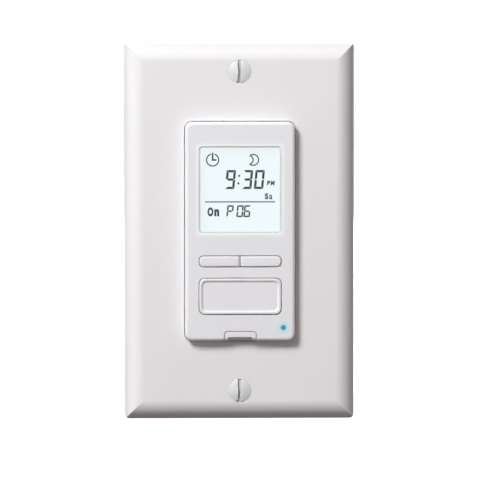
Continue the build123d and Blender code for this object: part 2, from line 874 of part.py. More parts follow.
with BuildPart() as board_header:
    with BuildSketch(facing(power_front)):
        with Locations((0, header_z)):
            Rectangle(header_length, header_width)
    extrude(amount=board_back - power_front)
    with BuildSketch(facing(power_back - header_pin_tail)):
        add(header_pins(header_pin_r))
    extrude(amount=board_front - power_back + 2 * header_pin_tail)
write(board_header.part, "board_header")


# Back-up cell behind the control board, under a sprung clip
cell_back = board_back - cell_gap - cell_thickness
with BuildPart() as backup_cell:
    with BuildSketch(facing(cell_back)):
        with Locations((0, cell_z)):
            Circle(cell_r)
    extrude(amount=cell_thickness)
    fillet(backup_cell.edges().filter_by(GeomType.CIRCLE), radius=cell_edge_r)
write(backup_cell.part, "backup_cell")

clip_inside = 2 * (cell_r + clip_gap)
with BuildPart() as cell_clip:
    with BuildSketch(level_section(cell_z)):
        with Locations((0, board_back)):
            for grow, mode in ((clip_thickness, Mode.ADD), (0, Mode.SUBTRACT)):
                Rectangle(
                    clip_inside + 2 * grow,
                    board_back - cell_back + grow,
                    align=(Align.CENTER, Align.MAX),
                    mode=mode,
                )
    extrude(amount=clip_width / 2, both=True)
write(cell_clip.part, "cell_clip")


# Rear housing: a deep tray behind the strap, with four wire bays open to the back
terminal_top = bay_top + terminal_fit
with BuildPart() as rear_housing:
    with BuildSketch(facing(0)):
        RectangleRounded(housing_width, housing_height, housing_corner_r)
    extrude(amount=-housing_depth)
    fillet(rear_housing.faces().sort_by(Axis.Y)[-1].edges(), radius=housing_back_r)
    for start, depth, inset in (
        (0, power_board_depth + board_thickness, 0),
        (power_back, housing_depth - housing_floor + power_back, board_ledge),
    ):
        with BuildSketch(facing(start)):
            RectangleRounded(inner_width - 2 * inset, inner_height - 2 * inset, cavity_corner_r)
        extrude(amount=-depth, mode=Mode.SUBTRACT)
    with BuildSketch(facing(-bay_top)):
        with GridLocations(2 * (bay_floor + bay_depth), 2 * bay_place, 2, 2):
            RectangleRounded(2 * bay_depth, bay_height, bay_corner_r)
    extrude(amount=bay_top - housing_depth, mode=Mode.SUBTRACT)
    slot_inside = inner_width / 2
    slot_outside = bay_floor + terminal_thickness + terminal_fit
    with BuildSketch(facing(0)):
        with GridLocations(slot_inside + slot_outside, 2 * bay_place, 2, 2):
            Rectangle(slot_outside - slot_inside, terminal_leg_width + 2 * terminal_fit)
    extrude(amount=-terminal_top - terminal_thickness - terminal_fit, mode=Mode.SUBTRACT)
    for side in (-1, 1):
        for place in (-bay_place, bay_place):
            with Locations(from_side(side, bay_floor, terminal_screw_depth, place)):
                Hole(
                    terminal_screw_r + terminal_tip_gap,
                    depth=terminal_screw_tail + terminal_tip_gap,
                )
    with BuildSketch(facing(0)):
        with GridLocations(2 * strap_screw_x, 2 * strap_screw_z, 2, 2):
            Circle(strap_screw_r + thread_fit)
    extrude(amount=strap_front - strap_screw_length - thread_fit, mode=Mode.SUBTRACT)
write(rear_housing.part, "rear_housing")


# Wire terminals: a tapped brass plate in each bay, whose leg is bent in over the power board
terminals = (
    ("line_terminal", -1, 1),
    ("neutral_terminal", -1, -1),
    ("load_terminal", 1, 1),
    ("traveler_terminal", 1, -1),
)
leg_end = inner_width / 2 - terminal_leg_reach
for name, side, level in terminals:
    place = level * bay_place
    with BuildPart() as terminal:
        with BuildSketch(from_side(side, bay_floor, terminal_top + terminal_length / 2, place)):
            Rectangle(terminal_length, terminal_height)
        extrude(amount=terminal_thickness)
        with BuildSketch(level_section(place)):
            with BuildLine():
                Polyline(
                    (side * (bay_floor + terminal_thickness), -terminal_top),
                    (side * leg_end, -terminal_top),
                    (side * leg_end, power_front),
                    (side * (leg_end + terminal_thickness), power_front),
                    (side * (leg_end + terminal_thickness), -terminal_top - terminal_thickness),
                    (side * (bay_floor + terminal_thickness), -terminal_top - terminal_thickness),
                    close=True,
                )
            make_face()
        extrude(amount=terminal_leg_width / 2, both=True)
        with Locations(from_side(side, bay_floor + terminal_thickness, terminal_screw_depth, place)):
            Hole(terminal_screw_r + thread_fit, depth=terminal_thickness)
    write(terminal.part, name)

clamp_front = bay_floor + terminal_thickness + clamp_thickness
with BuildPart() as clamp_plates:
    for side in (-1, 1):
        for place in (-bay_place, bay_place):
            with BuildSketch(from_side(side, clamp_front, terminal_screw_depth, place)):
                RectangleRounded(clamp_size, clamp_size, clamp_corner_r)
                Circle(terminal_screw_r + thread_fit, mode=Mode.SUBTRACT)
            extrude(amount=-clamp_thickness)
write(clamp_plates.part, "clamp_plates")


def wire_screw(seat, tail):
    """A slotted wire screw, with its head on a seat plane and its shank going a tail below it."""
    with BuildPart(mode=Mode.PRIVATE) as screw:
        with BuildSketch(seat):
            Circle(terminal_head_r)
        extrude(amount=terminal_head_height)
        rim = screw.edges().filter_by(GeomType.CIRCLE).sort_by(lambda e: seat.to_local_coords(e).center().Z)
        fillet(rim[-1], radius=terminal_head_edge_r)
        with BuildSketch(seat):
            Circle(terminal_screw_r)
        extrude(amount=-tail)
        with BuildSketch(seat.offset(terminal_head_height)):
            Rectangle(2 * terminal_head_r, driver_slot_width)
        extrude(amount=-terminal_head_height / 2, mode=Mode.SUBTRACT)
    return screw.part


with BuildPart() as terminal_screws:
    for side in (-1, 1):
        for place in (-bay_place, bay_place):
            add(
                wire_screw(
                    from_side(side, clamp_front, terminal_screw_depth, place),
                    clamp_thickness + terminal_thickness + terminal_screw_tail,
                )
            )
write(terminal_screws.part, "terminal_screws")

with BuildPart() as ground_screw:
    add(
        wire_screw(
            from_below(
                ground_tab_x, ground_tab_depth / 2, ground_tab_z - ground_washer_thickness
            ),
            ground_washer_thickness + strap_thickness + terminal_screw_tail,
        )
    )
write(ground_screw.part, "ground_screw")

with BuildPart() as ground_washer:
    with BuildSketch(from_below(ground_tab_x, ground_tab_depth / 2, ground_tab_z)):
        Circle(ground_washer_r)
        Circle(terminal_screw_r + thread_fit, mode=Mode.SUBTRACT)
    extrude(amount=ground_washer_thickness)
write(ground_washer.part, "ground_washer")


# Power board on its ledge in the housing, and the parts on its back
with BuildPart() as power_board:
    with BuildSketch(facing(power_back)):
        RectangleRounded(
            inner_width - 2 * board_gap, inner_height - 2 * board_gap, cavity_corner_r - board_gap
        )
        add(header_pins(header_pin_r + header_pin_fit), mode=Mode.SUBTRACT)
    extrude(amount=board_thickness)
write(power_board.part, "power_board")

for name, x, z, width, height, depth, edge_r in (
    ("relay", relay_x, relay_z, relay_width, relay_height, relay_depth, relay_edge_r),
    ("film_capacitor", 0, film_z, film_width, film_height, film_depth, film_edge_r),
):
    with BuildPart() as block:
        with BuildSketch(facing(power_back)):
            with Locations((x, z)):
                Rectangle(width, height)
        extrude(amount=-depth)
        fillet(block.faces().sort_by(Axis.Y)[-1].edges(), radius=edge_r)
    write(block.part, name)

coil_back = power_back - coil_depth
with BuildPart() as coil_bobbin:
    for height in (power_back, coil_back + coil_flange):
        with BuildSketch(facing(height)):
            with Locations((coil_x, coil_z)):
                Rectangle(coil_size, coil_size)
        extrude(amount=-coil_flange)
    with BuildSketch(facing(coil_back)):
        with Locations((coil_x, coil_z)):
            Circle(coil_core_r)
    extrude(amount=coil_depth)
write(coil_bobbin.part, "coil_bobbin")

with BuildPart() as coil_winding:
    with BuildSketch(facing(coil_back + coil_flange)):
        with Locations((coil_x, coil_z)):
            Circle(coil_winding_r)
            Circle(coil_core_r, mode=Mode.SUBTRACT)
    extrude(amount=coil_depth - 2 * coil_flange)
write(coil_winding.part, "coil_winding")

with BuildPart() as filter_capacitors:
    with BuildSketch(facing(power_back)):
        with Locations((filter_x, filter_z)):
            with GridLocations(filter_pitch, 0, 2, 1):
                Circle(filter_r)
    extrude(amount=-filter_length)
    tops = filter_capacitors.faces().filter_by(Axis.Y).group_by(Axis.Y)[-1]
    fillet(tops.edges(), radius=filter_edge_r)
write(filter_capacitors.part, "filter_capacitors")

disc_middle = power_back - disc_lead_length - disc_r
with BuildPart() as surge_disc:
    with BuildSketch(from_side(1, disc_x, -disc_middle, coil_z)):
        Circle(disc_r)
    extrude(amount=disc_thickness / 2, both=True)
    fillet(surge_disc.edges().filter_by(GeomType.CIRCLE), radius=disc_edge_r)
    with BuildSketch(facing(disc_middle)):
        with Locations((disc_x, coil_z)):
            with GridLocations(0, disc_lead_pitch, 1, 2):
                Circle(disc_lead_r)
    extrude(amount=power_back - disc_middle)
write(surge_disc.part, "surge_disc")
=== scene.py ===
"""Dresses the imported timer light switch: finishes for every CAD node, the display's readout and printed border,
crowned buttons, screw threads, and a plain studio. The wall is the XZ plane, +Z is up and the room is towards -Y."""

import math

import bmesh
import bpy
from bpy.props import FloatProperty, FloatVectorProperty, PointerProperty, StringProperty
from mathutils import Euler, Matrix, Vector


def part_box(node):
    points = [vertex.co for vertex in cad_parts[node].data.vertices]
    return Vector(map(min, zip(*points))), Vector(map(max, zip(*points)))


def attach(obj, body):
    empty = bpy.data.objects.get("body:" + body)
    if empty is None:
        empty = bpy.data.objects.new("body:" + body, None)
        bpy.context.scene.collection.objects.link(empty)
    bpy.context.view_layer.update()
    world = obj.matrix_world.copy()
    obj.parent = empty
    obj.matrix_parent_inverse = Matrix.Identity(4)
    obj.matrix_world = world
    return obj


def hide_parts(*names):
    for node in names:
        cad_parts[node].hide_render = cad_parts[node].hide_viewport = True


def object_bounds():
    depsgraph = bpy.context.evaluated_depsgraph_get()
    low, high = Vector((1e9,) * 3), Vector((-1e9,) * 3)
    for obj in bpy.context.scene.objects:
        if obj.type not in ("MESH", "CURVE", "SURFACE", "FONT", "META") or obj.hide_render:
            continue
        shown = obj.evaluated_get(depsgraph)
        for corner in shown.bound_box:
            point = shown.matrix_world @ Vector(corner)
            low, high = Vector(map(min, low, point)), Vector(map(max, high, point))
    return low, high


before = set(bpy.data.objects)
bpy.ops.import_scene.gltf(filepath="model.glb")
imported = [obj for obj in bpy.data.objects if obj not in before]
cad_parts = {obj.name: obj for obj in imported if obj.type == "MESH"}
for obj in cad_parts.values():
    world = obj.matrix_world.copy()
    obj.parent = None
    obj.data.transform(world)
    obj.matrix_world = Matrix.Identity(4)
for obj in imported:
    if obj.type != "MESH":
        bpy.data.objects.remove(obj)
CAD_BOX = [list(corner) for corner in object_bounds()]

bl_info = {
    "name": "Timer Light Switch",
    "version": (1, 0, 0),
    "blender": (4, 5, 0),
    "location": "View3D > Sidebar > Timer Switch",
    "description": "Finishes and fine detail for a single-gang timer light switch",
    "category": "Object",
}

MM = 0.001
HOME = "timer"  # the body that the others move on


def paint(red, green, blue):
    """A colour given in display values from 0 to 255, as the linear values that shaders take."""
    return tuple(((v / 255 + 0.055) / 1.055) ** 2.4 if v > 10 else v / 255 / 12.92 for v in (red, green, blue))


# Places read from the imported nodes
WINDOW_LOW, WINDOW_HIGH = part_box("display_window")
PIPE_LOW, PIPE_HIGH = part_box("status_light_pipe")
LIGHT_CENTRE = Vector(((PIPE_LOW.x + PIPE_HIGH.x) / 2, PIPE_LOW.y, (PIPE_LOW.z + PIPE_HIGH.z) / 2))
PANEL_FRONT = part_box("display_panel")[0].y
SCREWS_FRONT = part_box("plate_screws")[0].y

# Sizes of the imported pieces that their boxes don't give
LENS_FLANGE = 1.25 * MM
WINDOW_CORNER = 1.1 * MM
FACE_CORNER = 2.3 * MM
FACE_GAP = 0.2 * MM
SLOT_DEPTH = 1.1 * MM

# Small forms and colour edges that the scene adds
BORDER_CORNER = 1.0 * MM
PRINT_AND_SHADE_OVER_RIGHT = 0.16 * MM  # how far the grey at the window's edge runs on over the bezel: print, and painted shade on the bevel where it faces the key light
PRINT_AND_SHADE_OVER_FOOT = 0.07 * MM
PRINT_BLUR = 0.05 * MM
SEAM_SHADE_WIDTH = 0.1 * MM  # painted shade: dark edge of the plate beside the bezel, where the seam lies in shadow
HALO_REACH, HALO_CORE = 2.5 * MM, 0.9 * MM  # where the status light's glow ends, and where it is full
WINDOW_GLOW_REACH, WINDOW_GLOW_CORE = 1.6 * MM, 0.2 * MM  # the same for the painted light round the window, a pale band standing in for the display's glow in the bezel
RING_START, RING_END = 0.3 * MM, 0.85 * MM  # radii between which the status light grows paler
SLOT_SHADE_HEIGHT = 0.14 * MM  # painted shade: how far a plate screw's slot is darkened from its floor, where the slot lies in shadow
BUTTON_CROWN = 0.08 * MM  # how far a small button's front falls away at its top and foot
CROWN_REACH = 0.6 * MM  # what is this close to the front moves with it
CROWN_STRIPS = 12
DOME_SHARE = 0.6  # height that the domes of the plate screws keep
THREAD_START = 0.2 * MM  # place along Y, into the wall, where the threads begin
THREAD_OVERLAP = 0.1 * MM
THREAD_PITCH = 0.794 * MM
THREAD_CREST = 1.75 * MM
THREAD_ROOT = THREAD_CREST - 0.54 * THREAD_PITCH
THREAD_STEPS = 24
MARK_CLEARANCE = 0.012 * MM  # space between the panel and the marks in front of it

# How meshes are joined and shaded
WELD = 0.0005 * MM
THREAD_WELD = 0.001 * MM
CREASE = math.radians(35)

# Most of a noise pattern lies between these values
NOISE_LOW, NOISE_HIGH = 0.3, 0.7


class ReadoutSettings(bpy.types.PropertyGroup):
    """What the display shows, and how its marks are drawn."""

    time: StringProperty(name="Time", description="Large digits, with a colon", default="9:30")
    programme: StringProperty(name="Programme", description="Small digits under the line", default="P 06")
    digit_height: FloatProperty(
        name="Digit height", description="Height of the time digits", default=5.75 * MM, unit="LENGTH"
    )
    digit_width: FloatProperty(
        name="Digit width", description="Width of a time digit", default=2.85 * MM, unit="LENGTH"
    )
    digit_stroke: FloatProperty(
        name="Digit stroke", description="Width of a time digit's bars", default=0.7 * MM, unit="LENGTH"
    )
    small_height: FloatProperty(
        name="Small height", description="Height of the programme digits", default=3.6 * MM, unit="LENGTH"
    )
    small_width: FloatProperty(
        name="Small width", description="Width of a programme digit", default=2.0 * MM, unit="LENGTH"
    )
    small_stroke: FloatProperty(
        name="Small stroke", description="Width of a programme digit's bars", default=0.48 * MM, unit="LENGTH"
    )
    slant: FloatProperty(
        name="Slant", description="How far a mark leans to the right for its height", default=0.095
    )
    joint_gap: FloatProperty(
        name="Joint gap", description="Space between a digit's bars", default=0.07 * MM, unit="LENGTH"
    )
    weight: FloatProperty(name="Weight", description="How far letters are made bolder", default=0.06)
    thickness: FloatProperty(
        name="Mark thickness", description="Thickness of the marks and the printed border", default=0.02 * MM,
        unit="LENGTH",
    )
    border: FloatProperty(
        name="Border", description="Width of the printed border round the display", default=0.36 * MM, unit="LENGTH"
    )


class FinishSettings(bpy.types.PropertyGroup):
    """Colours of the pieces that show from the front."""

    plate: FloatVectorProperty(
        name="Plate", description="Wall plate", default=paint(236, 234, 236), subtype="COLOR", min=0, max=1
    )
    face: FloatVectorProperty(
        name="Front", description="Bezel", default=paint(238, 237, 240), subtype="COLOR", min=0, max=1
    )
    button: FloatVectorProperty(
        name="Buttons", description="Buttons and tab", default=paint(238, 236, 240), subtype="COLOR", min=0, max=1
    )
    screw: FloatVectorProperty(
        name="Plate screws", description="Paint on the plate screws", default=paint(226, 226, 227),
        subtype="COLOR", min=0, max=1
    )
    display: FloatVectorProperty(
        name="Display", description="Lit face of the display", default=paint(238, 248, 250),
        subtype="COLOR", min=0, max=1
    )
    mark: FloatVectorProperty(
        name="Marks", description="Dark marks on the display", default=paint(62, 72, 76), subtype="COLOR", min=0, max=1
    )
    border: FloatVectorProperty(
        name="Border", description="Printed border of the display", default=paint(216, 223, 222),
        subtype="COLOR", min=0, max=1
    )
    light: FloatVectorProperty(
        name="Light", description="Status light", default=paint(67, 134, 167), subtype="COLOR", min=0, max=1
    )
    halo: FloatVectorProperty(
        name="Halo", description="Glow on the bezel round the status light", default=paint(200, 238, 252),
        subtype="COLOR", min=0, max=1
    )


class StudioSettings(bpy.types.PropertyGroup):
    """The camera and the lights."""

    distance: FloatProperty(
        name="Camera distance", description="From the camera to the wall plane", default=1.5, unit="LENGTH"
    )
    view_width: FloatProperty(
        name="View width", description="Width that the picture shows at the wall", default=149.6 * MM, unit="LENGTH"
    )
    view_side: FloatProperty(
        name="View from the left", description="Turn of the camera off square", default=math.radians(2.4),
        unit="ROTATION",
    )
    view_rise: FloatProperty(
        name="View from above", description="Rise of the camera off square", default=math.radians(2.2),
        unit="ROTATION",
    )
    centre_x: FloatProperty(
        name="Centre X", description="Point at the middle of the picture", default=1.95 * MM, unit="LENGTH"
    )
    centre_z: FloatProperty(
        name="Centre Z", description="Point at the middle of the picture", default=-4.27 * MM, unit="LENGTH"
    )
    key_power: FloatProperty(
        name="Key power", description="Small light from the upper left", default=13.7, unit="POWER"
    )
    key_size: FloatProperty(name="Key size", description="Side of the key light", default=0.36, unit="LENGTH")
    soft_power: FloatProperty(name="Soft power", description="Large light in front", default=1.1, unit="POWER")
    right_power: FloatProperty(
        name="Right power", description="Light that grazes the plate from the right", default=1.8, unit="POWER"
    )
    back_power: FloatProperty(name="Back power", description="Large light behind", default=26.0, unit="POWER")
    side_power: FloatProperty(
        name="Side power", description="Light that grazes the plate from the left", default=2.0, unit="POWER"
    )
    room_light: FloatProperty(name="Room light", description="Even light from all round", default=0.23, min=0)


class Finish:
    """A material as it is made: one shader, and patterns that follow the piece's own coordinates."""

    def __init__(self, name, colour, roughness, metallic=0.0):
        self.material = bpy.data.materials.new(name)
        self.material.use_nodes = True
        self.tree = self.material.node_tree
        self.tree.nodes.clear()
        self.out = self.node("ShaderNodeOutputMaterial")
        self.shader = self.node("ShaderNodeBsdfPrincipled")
        self.link(self.shader.outputs["BSDF"], self.out.inputs["Surface"])
        self.where = self.node("ShaderNodeTexCoord").outputs["Object"]
        self.base = (*colour, 1.0)
        self.shader.inputs["Base Color"].default_value = self.base
        self.shader.inputs["Roughness"].default_value = roughness
        self.shader.inputs["Metallic"].default_value = metallic
        self.normal = None
        self.tint = None
        self.material.diffuse_color = self.base

    def node(self, kind, **settings):
        """Adds a shader node, with its settings."""
        made = self.tree.nodes.new(kind)
        for name, value in settings.items():
            setattr(made, name, value)
        return made

    def link(self, source, target):
        """Joins an output to an input."""
        self.tree.links.new(source, target)

    def placed(self, stretch=(1, 1, 1), middle=(0, 0, 0)):
        """The piece's coordinates, moved so that middle is the origin, then stretched."""
        mapping = self.node("ShaderNodeMapping", vector_type="TEXTURE")
        mapping.inputs["Location"].default_value = middle
        mapping.inputs["Scale"].default_value = stretch
        self.link(self.where, mapping.inputs["Vector"])
        return mapping.outputs["Vector"]

    def clouds(self, size, detail=2.0, stretch=(1, 1, 1)):
        """Soft noise with features about one size across."""
        noise = self.node("ShaderNodeTexNoise")
        noise.inputs["Scale"].default_value = 1 / size
        noise.inputs["Detail"].default_value = detail
        self.link(self.placed(stretch), noise.inputs["Vector"])
        return noise.outputs["Fac"]

    def cells(self, size, feature="F1", output="Distance"):
        """A pattern of cells about one size across."""
        voronoi = self.node("ShaderNodeTexVoronoi", feature=feature)
        voronoi.inputs["Scale"].default_value = 1 / size
        self.link(self.placed(), voronoi.inputs["Vector"])
        return voronoi.outputs[output]

    def distance(self, point):
        """How far a place on the piece is from a point."""
        length = self.node("ShaderNodeVectorMath", operation="LENGTH")
        self.link(self.placed(middle=point), length.inputs[0])
        return length.outputs["Value"]

    def outside(self, low, high):
        """How far a place on the front is outside a rectangle, given by two of its corners."""
        sides = []
        for axis in "XZ":
            index = "XYZ".index(axis)
            middle, half = (low[index] + high[index]) / 2, (high[index] - low[index]) / 2
            away = self.sums("ABSOLUTE", self.sums("SUBTRACT", self.along(axis), middle), 0)
            beyond = self.sums("MAXIMUM", self.sums("SUBTRACT", away, half), 0)
            sides.append(self.sums("MULTIPLY", beyond, beyond))
        return self.sums("SQRT", self.sums("ADD", *sides), 0)

    def along(self, axis):
        """One coordinate of the place on the piece."""
        split = self.node("ShaderNodeSeparateXYZ")
        self.link(self.where, split.inputs[0])
        return split.outputs[axis]

    def between(self, value, start, end, low=0.0, high=1.0, smooth=False):
        """A value's part of the way from start to end, as a number from low to high."""
        span = self.node("ShaderNodeMapRange", interpolation_type="SMOOTHSTEP" if smooth else "LINEAR")
        for name, number in (("From Min", start), ("From Max", end), ("To Min", low), ("To Max", high)):
            span.inputs[name].default_value = number
        self.link(value, span.inputs["Value"])
        return span.outputs["Result"]

    def sums(self, operation, first, second):
        """Two values joined by arithmetic, where either may be a plain number."""
        maths = self.node("ShaderNodeMath", operation=operation)
        for socket, value in zip(maths.inputs, (first, second)):
            if isinstance(value, (int, float)):
                socket.default_value = value
            else:
                self.link(value, socket)
        return maths.outputs[0]

    def stain(self, share, colour):
        """Mixes another colour in, by a share from 0 to 1."""
        mix = self.node("ShaderNodeMix", data_type="RGBA")
        self.link(share, mix.inputs["Factor"])
        if self.tint is None:
            mix.inputs["A"].default_value = self.base
        else:
            self.link(self.tint, mix.inputs["A"])
        mix.inputs["B"].default_value = (*colour, 1.0)
        self.tint = mix.outputs["Result"]
        self.link(self.tint, self.shader.inputs["Base Color"])
        return self

    def shade(self, pattern, amount, start=NOISE_LOW, end=NOISE_HIGH):
        """Lets a pattern darken the colour by up to an amount, as up to half of a colour that is twice as dark."""
        darker = [max(0.0, c * (1 - 2 * amount)) for c in self.base[:3]]
        return self.stain(self.between(pattern, start, end, 0.0, 0.5), darker)

    def polish(self, pattern, low, high):
        """Varies the roughness between two values by a pattern."""
        self.link(self.between(pattern, NOISE_LOW, NOISE_HIGH, low, high), self.shader.inputs["Roughness"])
        return self

    def relief(self, height, depth, strength):
        """Raises the surface by a height pattern, up to a depth in metres, over any relief made before."""
        bump = self.node("ShaderNodeBump")
        bump.inputs["Strength"].default_value = strength
        bump.inputs["Distance"].default_value = depth
        self.link(height, bump.inputs["Height"])
        if self.normal is not None:
            self.link(self.normal, bump.inputs["Normal"])
        self.normal = bump.outputs["Normal"]
        self.link(self.normal, self.shader.inputs["Normal"])
        return self

    def set(self, name, value):
        """Sets one value of the shader for the whole piece."""
        self.shader.inputs[name].default_value = value
        return self

    def lit(self, colour, strength):
        """Makes the piece give light of its own."""
        return self.set("Emission Color", (*colour, 1.0)).set("Emission Strength", strength)

    def on(self, *nodes):
        """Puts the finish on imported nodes, in place of the one they came with."""
        for name in nodes:
            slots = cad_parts[name].data.materials
            slots.clear()
            slots.append(self.material)
        return self


def moulded(name, colour, roughness, grain=0.25 * MM, depth=0.004 * MM, patch=18 * MM):
    """Moulded plastic: a fine even grain, slow swells from the tool, and a faint change of colour and gloss."""
    finish = Finish(name, colour, roughness)
    finish.shade(finish.clouds(patch, 3), 0.02)
    finish.polish(finish.clouds(1.6 * MM, 4), roughness - 0.04, roughness + 0.05)
    finish.relief(finish.clouds(2.4 * MM, 1), depth, 0.6)
    return finish.relief(finish.clouds(grain, 2), depth, 0.5)


def metal(name, colour, roughness, stretch=(1, 1, 1), line=0.12 * MM, depth=0.003 * MM):
    """Worked metal: lines along one way, blotches in the plating, and a shine that changes from place to place."""
    finish = Finish(name, colour, roughness, 1.0)
    finish.shade(finish.clouds(3.5 * MM, 4), 0.1)
    finish.polish(finish.clouds(0.9 * MM, 4), roughness - 0.08, roughness + 0.12)
    return finish.relief(finish.clouds(line, 3, stretch), depth, 0.7)


def link_piece(bm, name, finish, body=HOME, smooth=False):
    """Turns a finished bmesh into a piece that rides on a body."""
    mesh = bpy.data.meshes.new(name)
    bm.to_mesh(mesh)
    bm.free()
    for face in mesh.polygons:
        face.use_smooth = smooth
    piece = bpy.data.objects.new(name, mesh)
    bpy.context.scene.collection.objects.link(piece)
    mesh.materials.append(finish.material)
    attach(piece, body)
    return piece


def flat_bar(bm, start, end, width):
    """A flat bar from start to end."""
    start, end = Vector(start).to_3d(), Vector(end).to_3d()
    way = end - start
    verts = bmesh.ops.create_grid(bm, x_segments=1, y_segments=1, size=0.5)["verts"]
    turn = Matrix.Rotation(math.atan2(way.y, way.x), 4, "Z")
    size = Matrix.Diagonal((way.length, width, 1, 1))
    bmesh.ops.transform(bm, matrix=Matrix.Translation((start + end) / 2) @ turn @ size, verts=verts)


def flat_arc(bm, centre, radius, width, start, sweep, steps):
    """A flat ring, or a part of one, swept from a start angle in degrees."""
    middle = Vector(centre).to_3d()
    way = Vector((math.cos(math.radians(start)), math.sin(math.radians(start)), 0))
    ends = [bm.verts.new(middle + way * r) for r in (radius - width / 2, radius + width / 2)]
    edge = bm.edges.new(ends)
    bmesh.ops.spin(
        bm, geom=[*ends, edge], cent=middle, axis=(0, 0, 1), angle=math.radians(sweep), steps=steps
    )


def cut_across(bm, y, behind):
    """Cuts closed shells square across Y, takes away what is behind the cut or in front of it, and closes them."""
    cut = bmesh.ops.bisect_plane(
        bm, geom=bm.verts[:] + bm.edges[:] + bm.faces[:], plane_co=(0, y, 0), plane_no=(0, 1, 0),
        clear_outer=behind, clear_inner=not behind,
    )
    rim = [g for g in cut["geom_cut"] if isinstance(g, bmesh.types.BMEdge)]
    caps = bmesh.ops.holes_fill(bm, edges=rim)["faces"]
    if not caps:
        raise RuntimeError("a cut across a screw was left open")
    bmesh.ops.triangulate(bm, faces=caps)


# The outline of one turn of a thread: radii, each with its place along the turn as a share of the pitch
THREAD_OUTLINE = ((THREAD_ROOT, 0), (THREAD_ROOT, 0.25), (THREAD_CREST, 0.56), (THREAD_CREST, 0.69), (THREAD_ROOT, 1))


def threaded_shank(start, end, z):
    """A threaded rod along Y, made a turn too long at each end and cut square there."""
    turns = math.ceil((end - start) / THREAD_PITCH) + 2
    bm = bmesh.new()
    verts = [bm.verts.new((r, start + (rise - 1) * THREAD_PITCH, z)) for r, rise in THREAD_OUTLINE]
    edges = [bm.edges.new(pair) for pair in zip(verts, verts[1:])]
    bmesh.ops.spin(
        bm, geom=[*verts, *edges], cent=(0, 0, z), axis=(0, 1, 0), dvec=(0, THREAD_PITCH / THREAD_STEPS, 0),
        angle=turns * 2 * math.pi, steps=turns * THREAD_STEPS,
    )
    bmesh.ops.remove_doubles(bm, verts=bm.verts[:], dist=THREAD_WELD)
    cut_across(bm, start, behind=False)
    cut_across(bm, end, behind=True)
    return bm


def threaded_screws(node, name, finish, dome_share=1.0):
    """Two packed screws, one above the other, whose shanks carry a thread from THREAD_START to their ends.

    What stands in front of the wall plate keeps dome_share of its height."""
    low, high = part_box(node)
    reach = high.z - (high.x - low.x) / 2
    bm = bmesh.new()
    bm.from_mesh(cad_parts[node].data)
    bmesh.ops.remove_doubles(bm, verts=bm.verts[:], dist=WELD)
    plate_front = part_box("wall_plate")[0].y
    flatten = Matrix.Translation((0, plate_front * (1 - dome_share), 0)) @ Matrix.Diagonal((1, dome_share, 1, 1))
    bmesh.ops.transform(bm, matrix=flatten, verts=[v for v in bm.verts if v.co.y < plate_front])
    cut_across(bm, THREAD_START, behind=True)
    for z in (-reach, reach):
        shank = threaded_shank(THREAD_START - THREAD_OVERLAP, high.y, z)
        mesh = bpy.data.meshes.new("shank")
        shank.to_mesh(mesh)
        shank.free()
        bm.from_mesh(mesh)
        bpy.data.meshes.remove(mesh)
    bmesh.ops.recalc_face_normals(bm, faces=bm.faces[:])
    piece = link_piece(bm, name, finish, smooth=True)
    piece.data.set_sharp_from_angle(angle=CREASE)
    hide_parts(node)


def crowned_button(body, finish):
    """A packed push button whose flat front falls away towards its top and bottom."""
    low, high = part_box(body)
    bm = bmesh.new()
    bm.from_mesh(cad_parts[body].data)
    bmesh.ops.remove_doubles(bm, verts=bm.verts[:], dist=WELD)
    for step in range(1, CROWN_STRIPS):
        bmesh.ops.bisect_plane(
            bm, geom=bm.verts[:] + bm.edges[:] + bm.faces[:], plane_no=(0, 0, 1),
            plane_co=(0, 0, low.z + (high.z - low.z) * step / CROWN_STRIPS),
        )
    for vert in bm.verts:
        if vert.co.y < low.y + CROWN_REACH:
            rise = 2 * (vert.co.z - low.z) / (high.z - low.z) - 1
            vert.co.y += BUTTON_CROWN * rise * rise
    bmesh.ops.recalc_face_normals(bm, faces=bm.faces[:])
    piece = link_piece(bm, body + "_crowned", finish, body, smooth=True)
    piece.data.set_sharp_from_angle(angle=CREASE)
    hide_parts(body)


# The seven bars of a digit, each from one corner to another in shares of the half width and half height
BARS = {
    "a": ((-1, 1), (1, 1)),
    "b": ((1, 1), (1, 0)),
    "c": ((1, 0), (1, -1)),
    "d": ((-1, -1), (1, -1)),
    "e": ((-1, 0), (-1, -1)),
    "f": ((-1, 1), (-1, 0)),
    "g": ((-1, 0), (1, 0)),
}
# The bars that each sign lights
LIT_BARS = {
    "0": "abcdef", "1": "bc", "2": "abdeg", "3": "abcdg", "4": "bcfg", "5": "acdfg",
    "6": "acdefg", "7": "abc", "8": "abcdefg", "9": "abcdfg", "P": "abefg",
}
CORNER_REACH = 0.5  # how far a digit's outer corner reaches past its bars' middle lines, in bar widths
WAIST_GAP = 1.5  # how far an upright bar stops short of the digit's waist, in joint gaps


def mitred_bar(bm, start, end, width, gap):
    """One bar of a digit, cut slantwise where it meets its neighbours and at the digit's outer corners, and square
    at its waist."""
    before = set(bm.verts)
    way = (end - start).normalized()
    flat_bar(bm, start - way * width / 2, end + way * width / 2, width)
    for place, out in ((start, -way), (end, way)):
        if abs(out.x) > abs(out.y):
            sides = (1, -1) if place.y == 0 else (-math.copysign(1, place.y),)
            cuts = [(gap / 2, (out + Vector((0, side, 0))).normalized()) for side in sides]
        else:
            cuts = [(gap / 2, (out + Vector((-math.copysign(1, place.x), 0, 0))).normalized())]
            if place.y == 0:
                cuts.append((WAIST_GAP * gap, out))
        if place.y:
            corner = Vector((math.copysign(1, place.x), math.copysign(1, place.y), 0)).normalized()
            cuts.append((-CORNER_REACH * width, corner))
        for room, normal in cuts:
            bar = [v for v in bm.verts if v not in before]
            bar += [e for e in bm.edges if e.verts[0] not in before]
            bar += [f for f in bm.faces if f.verts[0] not in before]
            bmesh.ops.bisect_plane(
                bm, geom=bar, plane_co=place - normal * room, plane_no=normal, clear_outer=True
            )


